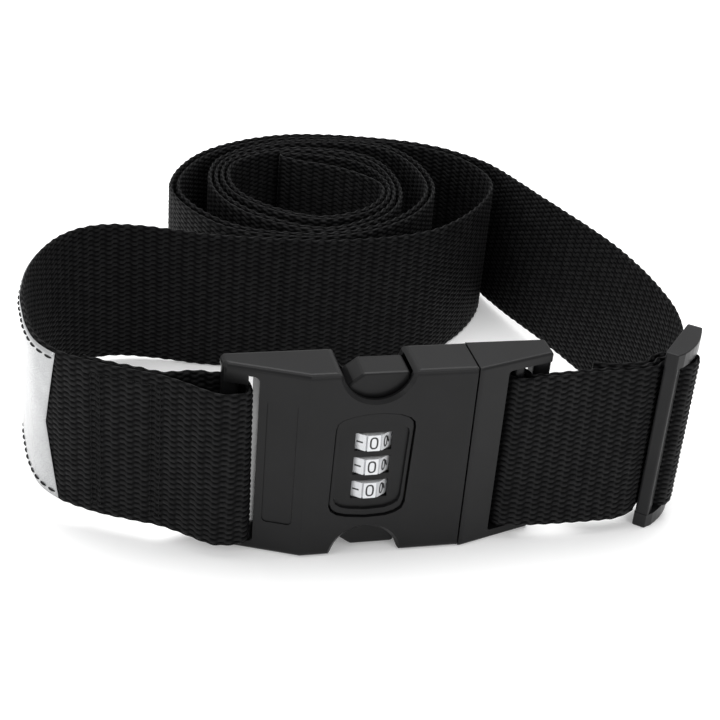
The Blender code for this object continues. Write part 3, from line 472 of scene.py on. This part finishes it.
def new_object(name, verts, faces, material, smooth=True):
    mesh = bpy.data.meshes.new(name)
    mesh.from_pydata(verts, [], faces)
    mesh.materials.append(material)
    mesh.polygons.foreach_set("use_smooth", np.full(len(mesh.polygons), smooth))
    mesh.update()
    made = bpy.data.objects.new(name, mesh)
    bpy.context.scene.collection.objects.link(made)
    return made


def webbing_piece(name, low, high):
    """Woven webbing between two distances along the strap, with real floats on both faces and a looped selvedge."""
    j0, j1 = math.ceil(low / (PICK / 3) - 1e-6), math.floor(high / (PICK / 3) + 1e-6)
    s = np.arange(j0, j1 + 1) * (PICK / 3)
    s = s[(s > low + 0.05) & (s < high - 0.05)]
    s = np.concatenate([[low], s, [high]])
    v = np.linspace(0.0, STRAP_W, ROWS + 1)
    centre, side, rise, lean = at_run(s)
    gap = np.minimum(v, STRAP_W - v)
    round_off = np.sqrt(np.clip(1 - (1 - np.clip(gap / 1.1, 0, 1)) ** 2, 0, 1))
    loops = 0.34 * (0.5 - 0.5 * np.cos(2 * np.pi * s / (2 * PICK))) * (0.55 + 0.45 * hash01(np.floor(s / (2 * PICK)), 7.0))
    pull = loops[:, None] * np.exp(-(gap / 1.3) ** 2)[None, :]
    height_at = v[None, :] + np.where(v < STRAP_W / 2, 1.0, -1.0)[None, :] * pull
    # stitches draw the sewn stretch of the front strand together
    sewn = np.clip((s - SEWN[0]) / 1.0, 0, 1) * np.clip((SEWN[1] - s) / 1.0, 0, 1)
    inside = np.clip((gap - 3.0) / 0.8, 0, 1)
    drawn = sewn[:, None] * inside[None, :] * (0.35 + 0.35 * hash01(np.floor(s / 1.4)[:, None], np.floor(v / 1.9)[None, :]))
    faces_at, tall = [], []
    for turn, sign in ((0, -1.0), (1, 1.0)):
        h = weave_height(s[:, None], v[None, :], turn)
        h = h * (0.35 + 0.65 * round_off)[None, :]
        h = h * (1 - 0.55 * drawn)
        out = (0.14 + 0.24 * round_off[None, :] + 0.44 * h - 0.10 * drawn)
        shift = lean[:, None] * (height_at / STRAP_W - 0.5) + sign * out
        x = centre[:, 0:1] + side[:, 0:1] * shift
        y = centre[:, 1:2] + side[:, 1:2] * shift
        z = np.clip(rise[:, None] + height_at, 0.02, None)
        faces_at.append(np.stack([x, y, z], 2))
        tall.append(h)
    outer, inner = faces_at[0], faces_at[1][:, ::-1]
    ring = np.concatenate([outer, inner], 1)
    tall = np.concatenate([tall[0], tall[1][:, ::-1]], 1)
    n, m = ring.shape[:2]
    verts = ring.reshape(-1, 3).copy()
    verts[:, 0] = (verts[:, 0] - CENTRE_X) * MM
    verts[:, 1] = (verts[:, 1] - CENTRE_Y) * MM
    verts[:, 2] *= MM
    j, i = np.meshgrid(np.arange(n - 1), np.arange(m), indexing="ij")
    i2 = (i + 1) % m
    quads = np.stack([j * m + i, j * m + i2, (j + 1) * m + i2, (j + 1) * m + i], 2).reshape(-1, 4)
    k = np.arange(ROWS)
    cap0 = np.stack([k, m - 1 - k, m - 2 - k, k + 1], 1)
    cap1 = np.stack([k, k + 1, m - 2 - k, m - 1 - k], 1) + (n - 1) * m
    quads = np.concatenate([quads, cap0, cap1])
    mesh = bpy.data.meshes.new(name)
    mesh.vertices.add(len(verts))
    mesh.vertices.foreach_set("co", verts.astype(np.float32).ravel())
    mesh.loops.add(quads.size)
    mesh.loops.foreach_set("vertex_index", quads.astype(np.int32).ravel())
    mesh.polygons.add(len(quads))
    mesh.polygons.foreach_set("loop_start", (np.arange(len(quads)) * 4).astype(np.int32))
    mesh.polygons.foreach_set("loop_total", np.full(len(quads), 4, np.int32))
    mesh.update(calc_edges=True)
    mesh.polygons.foreach_set("use_smooth", np.arange(len(quads)) < len(quads) - 2 * ROWS)
    mesh.materials.append(WEBBING)
    ahead = np.concatenate([np.zeros(len(v)), np.full(len(v), PICK)])
    uv = np.stack([((s[:, None] + ahead[None, :]) * MM).ravel(), np.tile(np.concatenate([v, v[::-1]]) * MM, n)], 1)
    layer = mesh.uv_layers.new(name="strap")
    layer.data.foreach_set("uv", uv[quads.ravel()].astype(np.float32).ravel())
    mesh.update()
    made = bpy.data.objects.new(name, mesh)
    bpy.context.scene.collection.objects.link(made)
    return made


# the rigid part of the strap, in lengths that meet in the gap between two picks
cuts = [0.0]
for fraction in range(1, 7):
    cuts.append(round(CUT_D * fraction / 7 / PICK) * PICK)
cuts.append(CUT_D)
MAIN_NAMES = ("webbing_left_strand", "webbing_left_bend", "webbing_coil_outer", "webbing_coil_outer_turn",
              "webbing_coil_middle", "webbing_coil_inner_turn", "webbing_coil_end")
for name, low, high in zip(MAIN_NAMES, cuts, cuts[1:]):
    piece = webbing_piece(name, low, high)
    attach(piece, "receptacle")
    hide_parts("webbing_main")

piece = webbing_piece("webbing_diagonal_run", CUT_D, CUT_A)
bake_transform(piece)
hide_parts("webbing_diagonal")

piece = webbing_piece("webbing_to_adjuster", CUT_A, CUT_L)
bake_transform(piece)
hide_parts("webbing_adjuster_loop")

piece = webbing_piece("webbing_adjuster_loops", CUT_L, END)
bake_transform(piece)
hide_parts("webbing_adjuster_loop")


# ---------------------------------------------------------------- stitching
def on_strap(s, v, offset):
    """A point on the strap: distance along it, height above its lower selvedge, and offset to its -side face."""
    centre, side, rise, lean = at_run(s)
    v = np.asarray(v, float)
    shift = lean * (v / STRAP_W - 0.5) - offset
    return np.stack([centre[:, 0] + side[:, 0] * shift, centre[:, 1] + side[:, 1] * shift, rise + v], 1)


def stitches(name, lines, offset, length, gap, radius, material=THREAD, end=0.35):
    """Rows of single stitches, each a short thread that rises out of the cloth and dips back into it. lines holds
    polylines of (distance along the strap, height)."""
    verts, faces = [], []
    for line in lines:
        line = np.array(line, float)
        run_at = np.concatenate([[0.0], np.cumsum(np.linalg.norm(np.diff(line, axis=0), axis=1))])
        count = max(1, int((run_at[-1] + gap) / (length + gap)))
        pitch = (run_at[-1] + gap) / count
        for k in range(count):
            t = k * pitch + np.linspace(0, pitch - gap, 7)
            s, v = (np.interp(t, run_at, line[:, c]) for c in range(2))
            u = np.linspace(0, 1, 7)
            lift = radius * 0.9 * np.sin(np.pi * u) ** 0.5 - end * (np.abs(2 * u - 1) ** 4) * radius
            centre = on_strap(s, v, offset + lift)
            ahead = np.gradient(centre, axis=0)
            ahead /= np.linalg.norm(ahead, axis=1)[:, None]
            _, side, _, _ = at_run(s)
            out = np.stack([-side[:, 0], -side[:, 1], np.zeros(7)], 1)
            across = np.cross(ahead, out)
            across /= np.linalg.norm(across, axis=1)[:, None]
            out = np.cross(across, ahead)
            thick = radius * (0.55 + 0.45 * np.sin(np.pi * u) ** 0.4)
            base = len(verts)
            for p, a, o, r in zip(centre, across, out, thick):
                for q in range(8):
                    w = 2 * math.pi * q / 8
                    spot = p + a * r * math.cos(w) + o * r * math.sin(w)
                    verts.append(world(*spot))
            for e in range(6):
                for q in range(8):
                    a0, b0 = base + e * 8 + q, base + e * 8 + (q + 1) % 8
                    faces.append((a0, b0, b0 + 8, a0 + 8))
            faces.append(tuple(base + q for q in range(8))[::-1])
            faces.append(tuple(base + 48 + q for q in range(8)))
    made = new_object(name, verts, faces, material)
    bm = bmesh.new()
    bm.from_mesh(made.data)
    bmesh.ops.recalc_face_normals(bm, faces=bm.faces)
    bm.to_mesh(made.data)
    bm.free()
    return made


FACE = 0.80  # how far the floats stand from the middle of the webbing

# sewn end: close rows across the strap at both ends of the doubled stretch, joined along the selvedges
s0, s1 = SEWN
box_rows = [[(s0 + 1.0, v), (s1 - 1.0, v)] for v in (3.4, 46.6)]
for start, step in ((s0 + 0.6, 1.05), (s1 - 0.6, -1.05)):
    for i in range(3):
        zigzag = [(start + step * (1.3 * i + 0.35 * (j % 2)), v) for j, v in enumerate(np.linspace(3.4, 46.6, 36))]
        box_rows.append(zigzag)
piece = stitches("sewn_end_stitches", box_rows, FACE - 0.13, 1.5, 0.3, 0.13)
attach(piece, "receptacle")
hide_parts("end_stitching")

tail_rows = []
for inset in (0.0, 1.0):
    a, b = END - 12.0 + inset, END - 2.5 - inset
    tail_rows += [[(a, 5 + inset), (b, 5 + inset)], [(b, 5 + inset), (b, 45 - inset)], [(b, 45 - inset), (a, 45 - inset)],
                  [(a, 45 - inset), (a, 5 + inset)]]
piece = stitches("adjuster_end_stitches", tail_rows, -(FACE - 0.05), 2.1, 0.45, 0.2)
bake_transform(piece)
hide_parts("adjuster_stitching")

# ---------------------------------------------------------------- reflective patch
PATCH_FROM = nearest_after(np.array((-112.6, 21.7)), 55.0, 400.0)
PATCH_TO = nearest_after(np.array((-106.0, 104.0)), 55.0, 400.0)
NOTCH = 4.6


def reflective_patch():
    """Thin tape on the outer face, with a shallow V cut into each end."""
    rows, cols = 26, 90
    v = np.linspace(0.9, STRAP_W - 0.9, rows + 1)
    u = np.linspace(0, 1, cols + 1)
    notch = NOTCH * (1 - np.abs(v - STRAP_W / 2) / (STRAP_W / 2 - 0.9)) ** 1.0
    s = (PATCH_FROM + notch)[None, :] + u[:, None] * (PATCH_TO - PATCH_FROM - 2 * notch)[None, :]
    vv = np.repeat(v[None, :], cols + 1, 0)
    edge_s = np.minimum(s - s[0:1], s[-1:] - s)
    edge_v = np.minimum(v - v[0], v[-1] - v)[None, :] * np.ones_like(s)
    soft = np.sqrt(np.clip(np.minimum(edge_s, edge_v) / 0.6, 0, 1))
    seam = 0.10 * (np.exp(-((vv - 2.8) / 0.7) ** 2) + np.exp(-((vv - 47.2) / 0.7) ** 2))
    sheets = []
    for thick in (0.98 + 0.20 * soft - seam, np.full_like(soft, 0.84)):
        sheets.append(on_strap(s.ravel(), vv.ravel(), thick.ravel()).reshape(cols + 1, rows + 1, 3))
    verts = [world(*p) for p in np.concatenate([sheets[0].reshape(-1, 3), sheets[1].reshape(-1, 3)])]
    n, m = cols + 1, rows + 1
    faces = []
    for j in range(cols):
        for i in range(rows):
            a = j * m + i
            faces.append((a, a + 1, a + m + 1, a + m))
            b = a + n * m
            faces.append((b, b + m, b + m + 1, b + 1))
    half = n * m
    for j in range(cols):
        for i, turn in ((0, 1), (rows, -1)):
            a = j * m + i
            quad = (a, a + m, a + m + half, a + half)
            faces.append(quad[::turn])
    for i in range(rows):
        for j, turn in ((0, -1), (cols, 1)):
            a = j * m + i
            quad = (a, a + 1, a + 1 + half, a + half)
            faces.append(quad[::turn])
    made = new_object("reflective_tape", verts, faces, TAPE)
    bm = bmesh.new()
    bm.from_mesh(made.data)
    bmesh.ops.recalc_face_normals(bm, faces=bm.faces)
    bm.to_mesh(made.data)
    bm.free()
    return made


tape = reflective_patch()
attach(tape, "receptacle")
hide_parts("reflective_patch")
for name, v, node in (("patch_stitches_upper", 47.2, "patch_stitch_upper"), ("patch_stitches_lower", 2.8, "patch_stitch_lower")):
    piece = stitches(name, [[(PATCH_FROM + 1.2, v), (PATCH_TO - 1.2, v)]], 1.12, 2.7, 1.15, 0.27)
    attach(piece, "receptacle")
    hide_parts(node)


# ---------------------------------------------------------------- numerals on the dials
DIAL_X, DIAL_Y, DIAL_Z, DIAL_PITCH, DIAL_R = -28.0, -0.55, 29.2, 7.9, 6.8
FACET = DIAL_R * math.cos(math.radians(15.5))


def arc(cx, cy, rx, ry, a0, a1, count=18):
    return [(cx + rx * math.cos(math.radians(a0 + (a1 - a0) * i / count)),
             cy + ry * math.sin(math.radians(a0 + (a1 - a0) * i / count))) for i in range(count + 1)]


def squared(count=36):
    """An oval with squarer shoulders than an ellipse."""
    turns = [2 * math.pi * i / count for i in range(count + 1)]
    return [(0.5 + 0.5 * math.copysign(abs(math.cos(a)) ** 0.72, math.cos(a)),
             0.5 + 0.5 * math.copysign(abs(math.sin(a)) ** 0.72, math.sin(a))) for a in turns]


DIGITS = {  # strokes in a box 1 wide and 1 high, up to (1, 1)
    0: [squared()],
    1: [[(0.5, 0.0), (0.5, 1.0)]],
    2: [arc(0.5, 0.70, 0.48, 0.30, 165, -20, 14) + [(0.05, 0.0), (1.0, 0.0)]],
    3: [arc(0.45, 0.74, 0.44, 0.26, 150, -90, 14), arc(0.45, 0.26, 0.50, 0.27, 90, -150, 14)],
    4: [[(1.0, 0.28), (0.0, 0.28), (0.72, 1.0), (0.72, 0.0)]],
    5: [[(0.92, 1.0), (0.14, 1.0), (0.06, 0.56)] + arc(0.48, 0.32, 0.48, 0.32, 130, -150, 16)],
    6: [arc(0.5, 0.30, 0.48, 0.30, 0, 360, 24), [(0.04, 0.34), (0.22, 0.72), (0.70, 1.0)]],
    7: [[(0.04, 1.0), (0.96, 1.0), (0.36, 0.0)]],
    8: [arc(0.5, 0.75, 0.40, 0.25, 0, 360, 22), arc(0.5, 0.25, 0.48, 0.26, 0, 360, 22)],
    9: [arc(0.5, 0.70, 0.48, 0.30, 0, 360, 24), [(0.96, 0.66), (0.78, 0.28), (0.30, 0.0)]],
}


def resample(points, step):
    p = np.array(points, float)
    run_at = np.concatenate([[0.0], np.cumsum(np.linalg.norm(np.diff(p, axis=0), axis=1))])
    t = np.linspace(0, run_at[-1], max(2, int(round(run_at[-1] / step)) + 1))
    return np.stack([np.interp(t, run_at, p[:, k]) for k in range(p.shape[1])], 1)


def numerals(name, z):
    """Printed numerals: low rounded strokes on each of the ten faces, read with the strap hanging."""
    verts, faces = [], []
    tall, wide, stroke = 1.95, 3.45, 0.29
    for digit, strokes in DIGITS.items():
        turn = math.radians(-90 - 36 * digit)
        out = np.array((math.cos(turn), math.sin(turn), 0.0))
        along = np.array((-math.sin(turn), math.cos(turn), 0.0))  # +X on the front face
        middle = np.array((DIAL_X, DIAL_Y, z)) + out * FACET
        for line in strokes:
            p = np.array(line, float)
            flat_line = np.stack([-(p[:, 1] - 0.5) * tall, (p[:, 0] - 0.5) * wide], 1)  # digit's up is -X
            closed = np.linalg.norm(flat_line[0] - flat_line[-1]) < 1e-6
            flat_line = resample(flat_line, 0.22)
            if closed:
                flat_line = flat_line[:-1]
                ahead = np.roll(flat_line, -1, 0) - np.roll(flat_line, 1, 0)
            else:
                ahead = np.gradient(flat_line, axis=0)
            ahead /= np.linalg.norm(ahead, axis=1)[:, None]
            across = np.stack([-ahead[:, 1], ahead[:, 0]], 1)
            base, count = len(verts), len(flat_line)
            for c, a in zip(flat_line, across):
                for w, lift in ((-1.0, -0.05), (-0.8, 0.035), (0.8, 0.035), (1.0, -0.05)):
                    q = c + a * stroke * w
                    spot = middle + along * q[0] + np.array((0, 0, q[1])) + out * lift
                    verts.append(world(*spot))
            last = count if closed else count - 1
            for e in range(last):
                f = (e + 1) % count
                for q in range(4):
                    r = (q + 1) % 4
                    faces.append((base + e * 4 + q, base + e * 4 + r, base + f * 4 + r, base + f * 4 + q))
            if not closed:
                faces.append(tuple(base + q for q in (3, 2, 1, 0)))
                faces.append(tuple(base + (count - 1) * 4 + q for q in range(4)))
    made = new_object(name, verts, faces, INK, smooth=False)
    bm = bmesh.new()
    bm.from_mesh(made.data)
    bmesh.ops.recalc_face_normals(bm, faces=bm.faces)
    bm.to_mesh(made.data)
    bm.free()
    return made


for name, i in (("top", -1), ("middle", 0), ("bottom", 1)):
    piece = numerals(f"dial_numerals_{name}", DIAL_Z - i * DIAL_PITCH)
    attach(piece, f"dial_{name}")


# ---------------------------------------------------------------- floor and light
def floor():
    bm = bmesh.new()
    bmesh.ops.create_grid(bm, x_segments=2, y_segments=2, size=6.0)
    mesh = bpy.data.meshes.new("studio_floor")
    bm.to_mesh(mesh)
    bm.free()
    made = bpy.data.objects.new("studio_floor", mesh)
    bpy.context.scene.collection.objects.link(made)
    n = Nodes("studio_floor_white")
    faint = n.noise(n.coords("Object"), 3.0, 2.0)
    n.link(n.mix(faint, (0.88, 0.88, 0.88), (0.90, 0.90, 0.90)), n.shader.inputs["Base Color"])
    n.set(Roughness=0.55, Specular_IOR_Level=0.2, Emission_Strength=0.19)
    n.shader.inputs["Emission Color"].default_value = (1.0, 1.0, 1.0, 1.0)
    mesh.materials.append(n.mat)
    made.location.z = -0.00005


def area_light(name, at, towards, size, power, colour=(1, 1, 1)):
    data = bpy.data.lights.new(name, "AREA")
    data.shape = "RECTANGLE"
    data.size, data.size_y = size
    data.energy = power
    data.color = colour
    made = bpy.data.objects.new(name, data)
    bpy.context.scene.collection.objects.link(made)
    made.location = at
    made.rotation_euler = (Vector(towards) - Vector(at)).to_track_quat("-Z", "Y").to_euler()
    return made


floor()
area_light("soft_overhead", (0.05, 0.30, 1.1), (0, 0, 0), (1.3, 0.9), 16.5)
area_light("soft_left", (-1.1, -0.45, 0.6), (0, 0, 0.02), (0.7, 0.7), 3.6)
area_light("soft_front", (0.5, -1.3, 0.8), (0, 0, 0.02), (1.0, 0.6), 4.0)
backdrop = bpy.data.worlds.new("studio_air")
backdrop.use_nodes = True
backdrop.node_tree.nodes["Background"].inputs[0].default_value = (1.0, 1.0, 1.0, 1)
backdrop.node_tree.nodes["Background"].inputs[1].default_value = 0.63
bpy.context.scene.world = backdrop
bpy.context.scene.view_settings.view_transform = "Standard"
bpy.context.scene.view_settings.look = "None"
